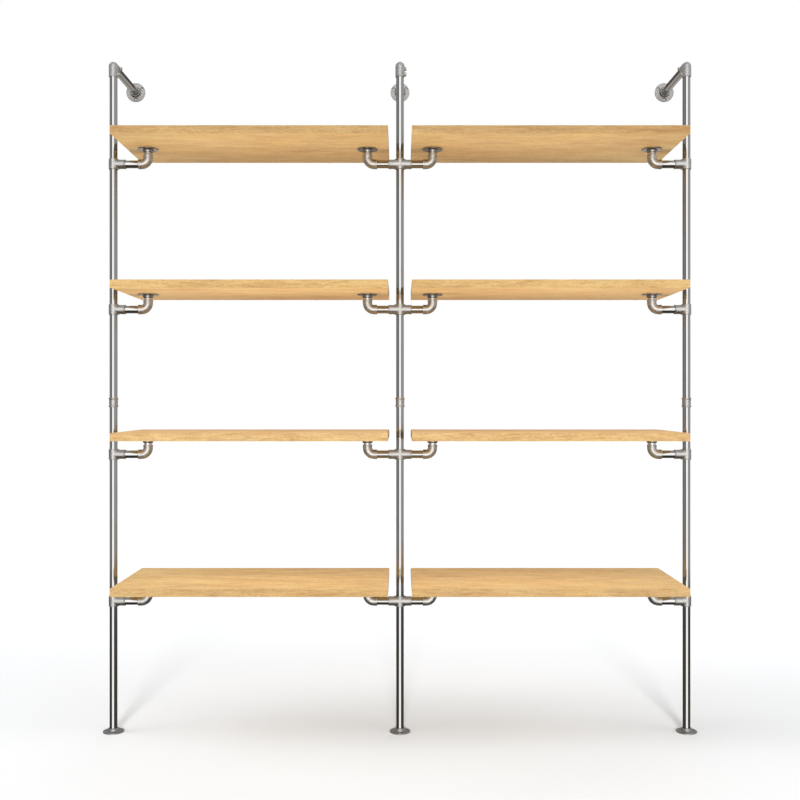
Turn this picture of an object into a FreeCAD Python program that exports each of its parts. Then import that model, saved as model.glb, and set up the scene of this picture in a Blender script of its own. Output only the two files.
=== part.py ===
import FreeCAD, Part
import os
import Sketcher
from FreeCAD import Vector, Rotation, Placement

# Pipe shelving unit: three tube uprights that stand on floor flanges and are
# tied back to the wall at the top, with two bays of four oak shelves between
# them.  Every shelf rests on two tube arms, and each arm is a socket on the
# upright, a short tube, a long-sweep elbow, a riser and a round flange.
#
# Frame: +X to the right, +Y towards the wall, +Z up, millimetres.  The origin
# is on the floor, on the axis of the middle upright.

doc = FreeCAD.newDocument("PipeShelving")

# ---------------------------------------------------------------- dimensions
DIMS = [
    # tube, 3/4 inch nominal
    ("tube_od", 26.9), ("tube_bore", 21.7), ("slip_bore", 27.1),
    # uprights
    ("bay_pitch", 1000.0), ("top_axis", 2321.2), ("coupler_axis", 1149.0),
    ("coupler_len", 32.4), ("coupler_od", 30.2), ("coupler_bead_od", 33.2),
    ("coupler_bead_len", 4.6), ("coupler_land", 2.0), ("coupler_waist", 29.6),
    # levels, height of the arm axis above the floor
    ("arm_height_one", 456.2), ("arm_height_two", 968.0),
    ("arm_height_three", 1473.1), ("arm_height_four", 1980.0),
    # tees and crosses
    ("sleeve_od", 32.6), ("sleeve_len", 36.4), ("socket_od", 32.2),
    ("tee_arm", 42.5), ("cross_arm", 40.0), ("socket_seat", 21.0),
    ("socket_bead_od", 32.8), ("socket_bead_len", 3.0),
    ("cast_fillet", 1.6), ("edge_round", 0.8),
    # set screw bosses and screws
    ("boss_od", 13.0), ("boss_reach", 22.4), ("screw_od", 8.0),
    ("screw_reach", 21.8), ("hex_flats", 4.0), ("hex_depth", 4.2),
    ("tee_screw_arm", 31.5), ("cross_screw_arm", 30.0),
    # arms
    ("outer_arm", 121.0), ("inner_arm", 113.5),
    ("elbow_face", 33.5), ("elbow_bend", 22.8), ("elbow_od", 32.6),
    ("elbow_bead_od", 33.8), ("elbow_bead_len", 6.0), ("elbow_bore", 21.7),
    ("elbow_seat", 14.0), ("riser_height", 53.8),
    # flanges
    ("flange_od", 71.4), ("flange_rim", 4.4), ("flange_height", 14.1),
    ("hub_root_od", 37.4), ("hub_mid_od", 36.4), ("hub_mid_height", 8.8),
    ("hub_top_od", 30.6), ("flange_seat", 2.2), ("flange_hole", 20.0),
    ("flange_fall", 0.7), ("rim_round", 0.6),
    ("bolt_circle", 53.5), ("bolt_hole", 6.0), ("sink_od", 11.6),
    # top elbows and wall tie
    ("top_od", 32.4), ("top_face", 36.6), ("top_seat", 17.0),
    ("top_bore", 20.0), ("top_screw", 27.4), ("wall_plane", 310.0),
    # boards
    ("board_length", 915.0), ("board_depth", 430.0), ("board_thick", 26.8),
    ("board_middle", 497.0), ("board_edge", 1.0),
    # wood screws
    ("wood_screw_od", 4.4), ("wood_screw_head", 10.4),
    ("wood_screw_sink", 0.95), ("wood_screw_len", 20.0),
]

sheet = doc.addObject("Spreadsheet::Sheet", "Dims")
for row, (alias, value) in enumerate(DIMS, start=1):
    sheet.set("A%d" % row, alias)
    sheet.set("B%d" % row, repr(float(value)))
    sheet.setAlias("B%d" % row, alias)
doc.recompute()


class Size(object):
    """A number together with the sheet expression that gives it."""

    def __init__(self, num, text):
        self.num = float(num)
        self.text = text

    @staticmethod
    def of(other):
        return other if isinstance(other, Size) else Size(other, "%.6f" % other)

    def join(self, other, sign, num):
        return Size(num, "(%s %s %s)" % (self.text, sign, other.text))

    def __add__(self, o):
        o = Size.of(o)
        return self.join(o, "+", self.num + o.num)

    def __sub__(self, o):
        o = Size.of(o)
        return self.join(o, "-", self.num - o.num)

    def __mul__(self, o):
        o = Size.of(o)
        return self.join(o, "*", self.num * o.num)

    def __truediv__(self, o):
        o = Size.of(o)
        return self.join(o, "/", self.num / o.num)

    def __radd__(self, o):
        return Size.of(o) + self

    def __rsub__(self, o):
        return Size.of(o) - self

    def __rmul__(self, o):
        return Size.of(o) * self

    def __neg__(self):
        return Size.of(0.0) - self


D = dict((alias, Size(value, "Dims." + alias)) for alias, value in DIMS)


def bind(obj, prop, size):
    """Set a property of an object from the sheet."""
    obj.setExpression(prop, Size.of(size).text)


def put(obj, x=0.0, y=0.0, z=0.0, rot=None):
    """Give an object its place, each coordinate bound to the sheet."""
    px, py, pz = Size.of(x), Size.of(y), Size.of(z)
    obj.Placement = Placement(Vector(px.num, py.num, pz.num),
                              rot if rot is not None else Rotation())
    bind(obj, "Placement.Base.x", px)
    bind(obj, "Placement.Base.y", py)
    bind(obj, "Placement.Base.z", pz)
    return obj


# rotations used by the pieces
TO_PLUS_X = Rotation(Vector(0, 1, 0), 90)      # local +Z to +X
TO_MINUS_X = Rotation(Vector(0, 1, 0), -90)    # local +Z to -X
TO_PLUS_Y = Rotation(Vector(1, 0, 0), -90)     # local +Z to +Y
TO_MINUS_Y = Rotation(Vector(1, 0, 0), 90)     # local +Z to -Y
HALF_TURN = Rotation(Vector(0, 0, 1), 180)


# ------------------------------------------------- sketch and body shorthand
def new_body(name):
    body = doc.addObject("PartDesign::Body", name)
    body.Label = name
    return body


def plane_of(body, role):
    for feature in body.Origin.OriginFeatures:
        if feature.Role == role:
            return feature
    raise RuntimeError("no plane " + role)


def new_sketch(body, tag, role="XY_Plane", offset=None):
    sk = body.newObject("Sketcher::SketchObject", body.Name + "_" + tag)
    sk.AttachmentSupport = (plane_of(body, role), [""])
    sk.MapMode = "FlatFace"
    if offset is not None:
        off = Size.of(offset)
        sk.AttachmentOffset = Placement(Vector(0, 0, off.num), Rotation())
        bind(sk, "AttachmentOffset.Base.z", off)
    return sk


def drive(sk, constraint, name, size):
    idx = sk.addConstraint(constraint)
    sk.renameConstraint(idx, name)
    sk.setExpression("Constraints." + name, size.text)


def pin_point(sk, geo, pos, x, y, name):
    """Hold one sketch point at driven distances from the sketch origin."""
    x, y = Size.of(x), Size.of(y)
    if abs(x.num) < 1e-9:
        sk.addConstraint(Sketcher.Constraint("PointOnObject", geo, pos, -2))
    else:
        drive(sk, Sketcher.Constraint("DistanceX", -1, 1, geo, pos, x.num),
              name + "X", x)
    if abs(y.num) < 1e-9:
        sk.addConstraint(Sketcher.Constraint("PointOnObject", geo, pos, -1))
    else:
        drive(sk, Sketcher.Constraint("DistanceY", -1, 1, geo, pos, y.num),
              name + "Y", y)


def circle(sk, x, y, diameter, name):
    x, y, diameter = Size.of(x), Size.of(y), Size.of(diameter)
    geo = sk.addGeometry(Part.Circle(Vector(x.num, y.num, 0), Vector(0, 0, 1),
                                     diameter.num / 2.0), False)
    if abs(x.num) < 1e-9 and abs(y.num) < 1e-9:
        sk.addConstraint(Sketcher.Constraint("Coincident", geo, 3, -1, 1))
    else:
        pin_point(sk, geo, 3, x, y, name)
    drive(sk, Sketcher.Constraint("Diameter", geo, diameter.num),
          name + "Dia", diameter)
    return geo


def outline(sk, points):
    """Closed outline of straight lines through driven points (x, y)."""
    pts = [(Size.of(x), Size.of(y)) for x, y in points]
    geos = []
    count = len(pts)
    for i in range(count):
        a, b = pts[i], pts[(i + 1) % count]
        geos.append(sk.addGeometry(Part.LineSegment(
            Vector(a[0].num, a[1].num, 0), Vector(b[0].num, b[1].num, 0)),
            False))
    for i in range(count):
        sk.addConstraint(Sketcher.Constraint(
            "Coincident", geos[i], 2, geos[(i + 1) % count], 1))
    for i in range(count):
        pin_point(sk, geos[i], 1, pts[i][0], pts[i][1], "P%d" % i)
    return geos


def pad(body, sk, length, tag, symmetric=False, reverse=False):
    feature = body.newObject("PartDesign::Pad", body.Name + "_" + tag)
    feature.Profile = sk
    if symmetric:
        feature.SideType = "Symmetric"
    feature.Reversed = reverse
    bind(feature, "Length", length)
    return feature


def pocket(body, sk, length, tag, symmetric=False, reverse=False):
    feature = body.newObject("PartDesign::Pocket", body.Name + "_" + tag)
    feature.Profile = sk
    if symmetric:
        feature.SideType = "Symmetric"
    feature.Reversed = reverse
    bind(feature, "Length", length)
    return feature


def cut_checked(body, before, what):
    """A pocket that points the wrong way cuts nothing, so compare volumes."""
    doc.recompute()
    after = body.Shape.Volume
    if not after < before - 1.0:
        raise RuntimeError("%s cut nothing from %s" % (what, body.Label))
    return after


def round_edges(body, radius, tag, pick):
    """Fillet the edges of the body's tip that the test function picks."""
    doc.recompute()
    tip = body.Tip
    names = []
    for i, edge in enumerate(tip.Shape.Edges, start=1):
        if pick(edge):
            names.append("Edge%d" % i)
    if not names:
        raise RuntimeError("no edge to round on " + body.Label)
    feature = body.newObject("PartDesign::Fillet", body.Name + "_" + tag)
    feature.Base = (tip, names)
    bind(feature, "Radius", radius)
    return feature


def is_ring(edge, radius, axis, at):
    """True for a full circle of this radius at this place along an axis."""
    curve = edge.Curve
    if not isinstance(curve, Part.Circle):
        return False
    if abs(curve.Radius - radius) > 1e-3:
        return False
    centre = (curve.Center.x, curve.Center.y, curve.Center.z)[axis]
    direction = (curve.Axis.x, curve.Axis.y, curve.Axis.z)[axis]
    return abs(centre - at) < 1e-3 and abs(abs(direction) - 1.0) < 1e-6


# ---------------------------------------------------------------------- tubes
def tube(name, length):
    """Plain tube along local +Z, cut square."""
    body = new_body(name)
    sk = new_sketch(body, "section")
    circle(sk, 0, 0, D["tube_od"], "Outside")
    circle(sk, 0, 0, D["tube_bore"], "Inside")
    pad(body, sk, length, "length")
    return body


# -------------------------------------------------------------------- flanges
def flange(name):
    """Round cast flange, mounting face at local z = 0, hub towards +Z.

    The tube seats on a small ledge inside the hub, and three countersunk
    holes stand on the bolt circle.
    """
    body = new_body(name)
    sk = new_sketch(body, "profile", "XZ_Plane")
    rim_r = D["flange_od"] / 2.0
    outline(sk, [
        (D["flange_hole"] / 2.0, 0),
        (rim_r, 0),
        (rim_r, D["flange_rim"] - D["flange_fall"]),
        (D["hub_root_od"] / 2.0 + 2.0, D["flange_rim"]),
        (D["hub_root_od"] / 2.0, D["flange_rim"] + 1.2),
        (D["hub_mid_od"] / 2.0, D["hub_mid_height"]),
        (D["hub_top_od"] / 2.0 + 0.7, D["flange_height"] - 1.0),
        (D["hub_top_od"] / 2.0 - 0.3, D["flange_height"]),
        (D["tube_od"] / 2.0, D["flange_height"]),
        (D["tube_od"] / 2.0, D["flange_seat"]),
        (D["flange_hole"] / 2.0, D["flange_seat"]),
    ])
    rev = body.newObject("PartDesign::Revolution", body.Name + "_casting")
    rev.Profile = sk
    rev.ReferenceAxis = (sk, ["V_Axis"])
    rev.Angle = 360.0
    doc.recompute()
    round_edges(body, D["rim_round"], "rim", lambda e: is_ring(
        e, rim_r.num, 2, (D["flange_rim"] - D["flange_fall"]).num))
    doc.recompute()
    before = body.Shape.Volume
    # one countersunk hole, turned about its own axis, then patterned
    sink = new_sketch(body, "hole", "XZ_Plane")
    here = D["bolt_circle"] / 2.0
    deep = D["bolt_hole"] / 2.0
    wide = D["sink_od"] / 2.0
    top = D["flange_rim"] + 1.0
    face = D["flange_rim"] - 0.35
    geos = outline(sink, [
        (here, -1.0),
        (here + deep, -1.0),
        (here + deep, face - (wide - deep)),
        (here + wide, face),
        (here + wide, top),
        (here, top),
    ])
    groove = body.newObject("PartDesign::Groove", body.Name + "_countersink")
    groove.Profile = sink
    groove.ReferenceAxis = (sink, ["Edge%d" % (geos[-1] + 1)])
    groove.Angle = 360.0
    cut_checked(body, before, "countersink")
    once = before - body.Shape.Volume
    polar = body.newObject("PartDesign::PolarPattern", body.Name + "_holes")
    polar.Originals = [groove]
    polar.Axis = (sk, ["V_Axis"])
    polar.Angle = 360.0
    polar.Occurrences = 3
    body.Tip = polar
    doc.recompute()
    if abs((before - body.Shape.Volume) - 3.0 * once) > 1.0:
        raise RuntimeError("flange holes missing on " + name)
    return body


# -------------------------------------------------------------------- coupler
def coupler(name):
    """Short beaded socket: a tube end enters from each side to a land."""
    body = new_body(name)
    sk = new_sketch(body, "profile", "XZ_Plane")
    half = D["coupler_len"] / 2.0
    bead = D["coupler_bead_len"]
    slip = D["tube_od"] / 2.0
    land = D["coupler_land"] / 2.0
    bead_r = D["coupler_bead_od"] / 2.0
    body_r = D["coupler_od"] / 2.0
    outline(sk, [
        (slip, -half),
        (bead_r - 0.9, -half),
        (bead_r, -half + 0.9),
        (bead_r, -half + bead - 1.0),
        (body_r, -half + bead + 0.6),
        (D["coupler_waist"] / 2.0, 0),
        (body_r, half - bead - 0.6),
        (bead_r, half - bead + 1.0),
        (bead_r, half - 0.9),
        (bead_r - 0.9, half),
        (slip, half),
        (slip, land),
        (D["tube_bore"] / 2.0 + 0.4, land),
        (D["tube_bore"] / 2.0 + 0.4, -land),
        (slip, -land),
    ])
    rev = body.newObject("PartDesign::Revolution", body.Name + "_casting")
    rev.Profile = sk
    rev.ReferenceAxis = (sk, ["V_Axis"])
    rev.Angle = 360.0
    return body


# ----------------------------------------------------------- tees and crosses
def arm_fitting(name, arm, screw_at, sides):
    """Short slip-on sleeve with one arm socket (+X) or two (+X and -X).

    The sleeve's bore runs right through for the upright, each socket's bore
    ends at a seat, and the set screw bosses point to the back (+Y).
    """
    body = new_body(name)
    sleeve = new_sketch(body, "sleeve")
    circle(sleeve, 0, 0, D["sleeve_od"], "Sleeve")
    pad(body, sleeve, D["sleeve_len"], "sleeve_pad", symmetric=True)
    socket = new_sketch(body, "socket", "YZ_Plane")
    circle(socket, 0, 0, D["socket_od"], "Socket")
    pad(body, socket, arm if sides == 1 else arm * 2.0, "socket_pad",
        symmetric=(sides == 2))
    sleeve_r = D["sleeve_od"].num / 2.0
    socket_r = D["socket_od"].num / 2.0

    # the blend where the socket runs into the sleeve
    def crotch(edge):
        box = edge.BoundBox
        return (edge.Length > 20.0 and abs(box.ZMax + box.ZMin) < 1e-3
                and max(abs(box.XMax), abs(box.XMin)) < sleeve_r + 0.05
                and box.ZMax < D["sleeve_len"].num / 2.0 - 0.5
                and not isinstance(edge.Curve, Part.Line))
    round_edges(body, D["cast_fillet"], "crotch", crotch)
    doc.recompute()
    # the low bead at each socket's mouth
    for side in ((1,) if sides == 1 else (1, -1)):
        tag = "r" if side > 0 else "l"
        bead = new_sketch(body, "bead_" + tag, "YZ_Plane",
                          offset=(arm - D["socket_bead_len"]) * side)
        circle(bead, 0, 0, D["socket_bead_od"], "Bead")
        pad(body, bead, D["socket_bead_len"], "bead_pad_" + tag,
            reverse=(side < 0))
    # bosses for the set screws, on the back
    bosses = new_sketch(body, "bosses", "XZ_Plane")
    circle(bosses, 0, 0, D["boss_od"], "Boss")
    for side in ((1,) if sides == 1 else (1, -1)):
        circle(bosses, screw_at * side, 0, D["boss_od"],
               "BossR" if side > 0 else "BossL")
    pad(body, bosses, D["boss_reach"], "boss_pad", reverse=True)
    doc.recompute()
    if body.Shape.BoundBox.YMax < D["boss_reach"].num - 0.1:
        raise RuntimeError("bosses point the wrong way on " + name)
    round_edges(body, D["edge_round"], "edges", lambda e: (
        is_ring(e, sleeve_r, 2, D["sleeve_len"].num / 2.0)
        or is_ring(e, sleeve_r, 2, -D["sleeve_len"].num / 2.0)
        or is_ring(e, D["socket_bead_od"].num / 2.0, 0, arm.num)
        or is_ring(e, D["socket_bead_od"].num / 2.0, 0, -arm.num)
        or is_ring(e, D["boss_od"].num / 2.0, 1, D["boss_reach"].num)))
    doc.recompute()
    volume = body.Shape.Volume
    bore = new_sketch(body, "bore")
    circle(bore, 0, 0, D["slip_bore"], "Bore")
    pocket(body, bore, D["sleeve_len"] + 4.0, "bore_cut", symmetric=True)
    volume = cut_checked(body, volume, "sleeve bore")
    for side in ((1,) if sides == 1 else (1, -1)):
        tag = "r" if side > 0 else "l"
        seat = new_sketch(body, "seat_" + tag, "YZ_Plane",
                          offset=D["socket_seat"] * side)
        circle(seat, 0, 0, D["tube_od"], "Seat")
        pocket(body, seat, arm - D["socket_seat"] + 1.0, "seat_cut_" + tag,
               reverse=(side > 0))
        volume = cut_checked(body, volume, "socket bore")
    taps = new_sketch(body, "taps", "XZ_Plane")
    circle(taps, 0, 0, D["screw_od"], "Tap")
    for side in ((1,) if sides == 1 else (1, -1)):
        circle(taps, screw_at * side, 0, D["screw_od"],
               "TapR" if side > 0 else "TapL")
    pocket(body, taps, D["boss_reach"] + 1.0, "taps_cut", reverse=False)
    volume = cut_checked(body, volume, "set screw taps")
    return body


# -------------------------------------------------------- primitives shorthand
def cylinder(name, diameter, length, rot=None, x=0.0, y=0.0, z=0.0):
    obj = doc.addObject("Part::Cylinder", name)
    bind(obj, "Radius", Size.of(diameter) / 2.0)
    bind(obj, "Height", length)
    return put(obj, x, y, z, rot)


def fuse(name, shapes):
    obj = doc.addObject("Part::MultiFuse", name)
    obj.Shapes = shapes
    obj.Refine = True
    return obj


def cut(name, base, tool):
    obj = doc.addObject("Part::Cut", name)
    obj.Base = base
    obj.Tool = tool
    obj.Refine = True
    return obj


def group(name, members):
    obj = doc.addObject("Part::Compound", name)
    obj.Label = name
    obj.Links = members
    return obj


# ----------------------------------------------------------------- arm elbows
def arm_elbow(name):
    """Long-sweep elbow: one mouth faces -X, the other faces +Z.

    Local origin where the two mouth axes cross.
    """
    face, bend = D["elbow_face"], D["elbow_bend"]
    leg = face - bend
    solids = []
    sweep = doc.addObject("Part::Torus", name + "_sweep")
    bind(sweep, "Radius1", bend)
    bind(sweep, "Radius2", D["elbow_od"] / 2.0)
    sweep.Angle3 = 90.0
    # quarter turn from the -X leg (below the bend centre) to the +Z leg
    put(sweep, -bend, 0, bend,
        Rotation(Vector(1, 0, 0), Vector(0, 0, 1), Vector(0, -1, 0), "XYZ"))
    sweep.Placement.Rotation = Rotation(Vector(1, 0, 0), 90).multiply(
        Rotation(Vector(0, 0, 1), -90))
    solids.append(sweep)
    solids.append(cylinder(name + "_leg_a", D["elbow_od"], leg, TO_PLUS_X,
                           x=-face))
    solids.append(cylinder(name + "_leg_b", D["elbow_od"], leg, None, z=bend))
    bead = D["elbow_bead_od"]
    for tag, rot, where in (("bead_a", TO_PLUS_X, "x"), ("bead_b", None, "z")):
        ring = cylinder(name + "_" + tag, bead, D["elbow_bead_len"], rot)
        if where == "x":
            put(ring, x=-face, rot=rot)
        else:
            put(ring, z=face - D["elbow_bead_len"], rot=rot)
        soft = doc.addObject("Part::Chamfer", name + "_" + tag + "_edge")
        soft.Base = ring
        soft.Edges = [(2, 0.5, 0.5), (3, 0.5, 0.5)]
        solids.append(soft)
    outer = fuse(name + "_outside", solids)
    # the way through, and a deeper seat for the tube at each mouth
    voids = []
    inner = doc.addObject("Part::Torus", name + "_way")
    bind(inner, "Radius1", bend)
    bind(inner, "Radius2", D["elbow_bore"] / 2.0)
    inner.Angle3 = 90.0
    put(inner, -bend, 0, bend)
    inner.Placement.Rotation = Rotation(Vector(1, 0, 0), 90).multiply(
        Rotation(Vector(0, 0, 1), -90))
    voids.append(inner)
    voids.append(cylinder(name + "_way_a", D["elbow_bore"], leg + 1.0,
                          TO_PLUS_X, x=-face - 1.0))
    voids.append(cylinder(name + "_way_b", D["elbow_bore"], leg + 1.0, None,
                          z=bend))
    voids.append(cylinder(name + "_seat_a", D["tube_od"],
                          D["elbow_seat"] + 1.0, TO_PLUS_X, x=-face - 1.0))
    voids.append(cylinder(name + "_seat_b", D["tube_od"],
                          D["elbow_seat"] + 1.0, None,
                          z=face - D["elbow_seat"]))
    inside = fuse(name + "_inside", voids)
    return cut(name, outer, inside)


# ----------------------------------------------------------------- top elbows
def top_elbow(name, side):
    """Slip-on elbow: one mouth faces down, the other faces the wall (+Y).

    The corner is a ball of the fitting's own diameter.  Two set screw bosses
    point to +X (side = 1) or -X (side = -1).
    """
    out = TO_PLUS_X if side > 0 else TO_MINUS_X
    face = D["top_face"]
    ball = doc.addObject("Part::Sphere", name + "_ball")
    bind(ball, "Radius", D["top_od"] / 2.0)
    down = cylinder(name + "_down", D["top_od"], face, None, z=-face)
    back = cylinder(name + "_back", D["top_od"], face, TO_PLUS_Y)
    soft_down = doc.addObject("Part::Chamfer", name + "_down_edge")
    soft_down.Base = down
    soft_down.Edges = [(2, 0.8, 0.8)]
    soft_back = doc.addObject("Part::Chamfer", name + "_back_edge")
    soft_back.Base = back
    soft_back.Edges = [(3, 0.8, 0.8)]
    bosses = []
    for tag, y, z in (("boss_low", 0.0, -D["top_screw"]),
                      ("boss_high", D["top_screw"], 0.0)):
        boss = cylinder(name + "_" + tag, D["boss_od"], D["boss_reach"], out,
                        y=y, z=z)
        soft = doc.addObject("Part::Chamfer", name + "_" + tag + "_edge")
        soft.Base = boss
        soft.Edges = [(3, 1.0, 1.0)]
        bosses.append(soft)
    outer = fuse(name + "_outside", [ball, soft_down, soft_back] + bosses)
    seat = D["top_seat"]
    voids = [
        cylinder(name + "_seat_down", D["tube_od"], face - seat + 1.0, None,
                 z=-face - 1.0),
        cylinder(name + "_seat_back", D["tube_od"], face - seat + 1.0,
                 TO_PLUS_Y, y=seat),
        cylinder(name + "_way_down", D["top_bore"], seat + 1.0, None,
                 z=-seat - 1.0),
        cylinder(name + "_way_back", D["top_bore"], seat + 1.0, TO_PLUS_Y),
    ]
    core = doc.addObject("Part::Sphere", name + "_core")
    bind(core, "Radius", D["top_bore"] / 2.0)
    voids.append(core)
    for tag, y, z in (("tap_low", 0.0, -D["top_screw"]),
                      ("tap_high", D["top_screw"], 0.0)):
        voids.append(cylinder(name + "_" + tag, D["screw_od"],
                              D["boss_reach"] + 1.0, out, y=y, z=z))
    inside = fuse(name + "_inside", voids)
    return cut(name, outer, inside)


# -------------------------------------------------------------------- screws
def set_screw(name):
    """Hexagon-socket set screw along local +Z, its socket at the +Z end."""
    low = D["tube_od"] / 2.0
    long = D["screw_reach"] - low
    shank = cylinder(name + "_shank", D["screw_od"], long, None, z=low)
    soft = doc.addObject("Part::Chamfer", name + "_edge")
    soft.Base = shank
    soft.Edges = [(3, 0.6, 0.6), (2, 1.2, 1.2)]
    hexagon = doc.addObject("Part::Prism", name + "_hex")
    hexagon.Polygon = 6
    bind(hexagon, "Circumradius", D["hex_flats"] / 1.7320508)
    bind(hexagon, "Height", D["hex_depth"] + 1.0)
    put(hexagon, z=D["screw_reach"] - D["hex_depth"])
    return cut(name, soft, hexagon)


def wood_screw(name):
    """Countersunk wood screw; head face at local z = 0, point towards +Z."""
    head = doc.addObject("Part::Cone", name + "_head")
    bind(head, "Radius1", D["wood_screw_head"] / 2.0)
    bind(head, "Radius2", D["wood_screw_od"] / 2.0)
    bind(head, "Height", (D["wood_screw_head"] - D["wood_screw_od"]) / 2.0)
    shank = cylinder(name + "_shank", D["wood_screw_od"],
                     D["wood_screw_len"] - 4.0)
    point = doc.addObject("Part::Cone", name + "_point")
    bind(point, "Radius1", D["wood_screw_od"] / 2.0)
    point.Radius2 = 0.3
    point.Height = 4.0
    put(point, z=D["wood_screw_len"] - 4.0)
    whole = fuse(name + "_whole", [head, shank, point])
    recess = []
    for tag, wide, deep in (("slot_a", 4.4, 0.9), ("slot_b", 0.9, 4.4)):
        slot = doc.addObject("Part::Box", name + "_" + tag)
        slot.Length = wide
        slot.Width = deep
        slot.Height = 1.8
        put(slot, x=-wide / 2.0, y=-deep / 2.0, z=-0.4)
        recess.append(slot)
    return cut(name, whole, fuse(name + "_recess", recess))


# --------------------------------------------------------------------- boards
def board(name, left_flange, right_flange):
    """Oak board, centred on local X and Y, underside at local z = 0.

    Pilot holes for the flange screws are drilled from the underside.
    left_flange and right_flange are the flange axes in the board's own X.
    """
    body = new_body(name)
    sk = new_sketch(body, "plan")
    hx, hy = D["board_length"] / 2.0, D["board_depth"] / 2.0
    outline(sk, [(-hx, -hy), (hx, -hy), (hx, hy), (-hx, hy)])
    pad(body, sk, D["board_thick"], "plank")
    doc.recompute()
    tip = body.Tip
    edge = body.newObject("PartDesign::Chamfer", body.Name + "_arris")
    edge.Base = (tip, ["Edge%d" % (i + 1)
                       for i in range(len(tip.Shape.Edges))])
    bind(edge, "Size", D["board_edge"])
    doc.recompute()
    before = body.Shape.Volume
    pilots = new_sketch(body, "pilots")
    radius = D["bolt_circle"] / 2.0
    count = 0
    for centre in (left_flange, right_flange):
        for kx, ky in ((0.8660254, 0.5), (-0.8660254, 0.5), (0.0, -1.0)):
            circle(pilots, centre + radius * kx, radius * ky,
                   D["wood_screw_od"], "Pilot%d" % count)
            count += 1
    pocket(body, pilots, D["wood_screw_len"] - D["flange_rim"]
           + D["wood_screw_sink"] + 0.5, "pilot_holes", reverse=True)
    cut_checked(body, before, "pilot holes")
    return body


# ================================================================== assembly
nodes = []

UPRIGHTS = [("left", -1), ("center", 0), ("right", 1)]
LEVELS = [(1, D["arm_height_one"]), (2, D["arm_height_two"]),
          (3, D["arm_height_three"]), (4, D["arm_height_four"])]

base_seat = D["flange_seat"]
land = D["coupler_land"] / 2.0
top_end = D["top_axis"] - D["top_seat"]

for where, sign in UPRIGHTS:
    x = D["bay_pitch"] * float(sign) if sign else 0.0
    # floor flange: its single hole faces the room
    nodes.append(put(flange("base_flange_" + where), x=x,
                     rot=Rotation(Vector(0, 0, 1), 30)))
    nodes.append(put(tube("lower_pipe_" + where,
                          D["coupler_axis"] - land - base_seat),
                     x=x, z=base_seat))
    nodes.append(put(coupler("coupler_" + where), x=x, z=D["coupler_axis"]))
    nodes.append(put(tube("upper_pipe_" + where,
                          top_end - D["coupler_axis"] - land),
                     x=x, z=D["coupler_axis"] + land))
    elbow = top_elbow("top_elbow_" + where, -1 if sign > 0 else 1)
    nodes.append(put(elbow, x=x, z=D["top_axis"]))
    nodes.append(put(tube("wall_pipe_" + where,
                          D["wall_plane"] - D["flange_seat"] - D["top_seat"]),
                     x=x, y=D["top_seat"], z=D["top_axis"], rot=TO_PLUS_Y))
    # wall flange: its mounting face is on the wall, one hole points down
    nodes.append(put(flange("wall_flange_" + where), x=x, y=D["wall_plane"],
                     z=D["top_axis"],
                     rot=TO_MINUS_Y.multiply(Rotation(Vector(0, 0, 1), 30))))

for level, height in LEVELS:
    left = arm_fitting("tee_%d_left" % level, D["tee_arm"],
                       D["tee_screw_arm"], 1)
    nodes.append(put(left, x=-D["bay_pitch"], z=height))
    middle = arm_fitting("cross_%d_center" % level, D["cross_arm"],
                         D["cross_screw_arm"], 2)
    nodes.append(put(middle, z=height))
    # the right tee is the left one mirrored, so its bosses stay at the back
    twin = doc.addObject("Part::Mirroring", "tee_%d_right" % level)
    twin.Label = "tee_%d_right" % level
    twin.Source = left
    twin.Base = Vector(0, 0, 0)
    twin.Normal = Vector(1, 0, 0)
    nodes.append(twin)

    # arms: (tag, riser axis X, which way the arm points, upright X, socket)
    arms = [
        ("a", D["outer_arm"] - D["bay_pitch"], 1, -D["bay_pitch"],
         D["outer_arm"]),
        ("b", -D["inner_arm"], -1, 0.0, D["inner_arm"]),
        ("c", D["inner_arm"], 1, 0.0, D["inner_arm"]),
        ("d", D["bay_pitch"] - D["outer_arm"], -1, D["bay_pitch"],
         D["outer_arm"]),
    ]
    pipes, elbows, risers, plates = [], [], [], []
    for tag, riser_x, way, post_x, arm in arms:
        key = "%d_%s" % (level, tag)
        pipe = tube("arm_pipe_" + key, arm - D["elbow_face"]
                    + D["elbow_seat"] - D["socket_seat"])
        put(pipe, x=Size.of(post_x) + D["socket_seat"] * float(way), z=height,
            rot=TO_PLUS_X if way > 0 else TO_MINUS_X)
        pipes.append(pipe)
        bend = arm_elbow("arm_elbow_" + key)
        put(bend, x=riser_x, z=height, rot=None if way > 0 else HALF_TURN)
        elbows.append(bend)
        riser = tube("arm_riser_" + key, D["riser_height"] - D["flange_seat"]
                     - D["elbow_face"] + D["elbow_seat"])
        put(riser, x=riser_x, z=height + D["elbow_face"] - D["elbow_seat"])
        risers.append(riser)
        plate = flange("shelf_flange_" + key)
        # upside down, and turned so that its holes meet the pilot holes
        put(plate, x=riser_x, z=height + D["riser_height"],
            rot=Rotation(Vector(1, 0, 0), 180).multiply(
                Rotation(Vector(0, 0, 1), 90)))
        plates.append(plate)
    nodes.append(group("arm_pipes_%d" % level, pipes))
    nodes.append(group("arm_elbows_%d" % level, elbows))
    nodes.append(group("arm_risers_%d" % level, risers))
    nodes.append(group("shelf_flanges_%d" % level, plates))

    for where, sign in (("left", -1.0), ("right", 1.0)):
        outer_x = (D["bay_pitch"] - D["outer_arm"] - D["board_middle"]) * sign
        inner_x = (D["inner_arm"] - D["board_middle"]) * sign
        plank = board("shelf_%d_%s" % (level, where), outer_x, inner_x)
        nodes.append(put(plank, x=D["board_middle"] * sign,
                         z=height + D["riser_height"]))

doc.recompute()

# ------------------------------------------------------------ fastener groups
# One screw of each kind is modelled, and linked copies of it stand wherever
# the fittings need one, each at a place bound to the sheet.
master_set = set_screw("set_screw_master")
master_wood = wood_screw("wood_screw_master")
doc.recompute()


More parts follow.
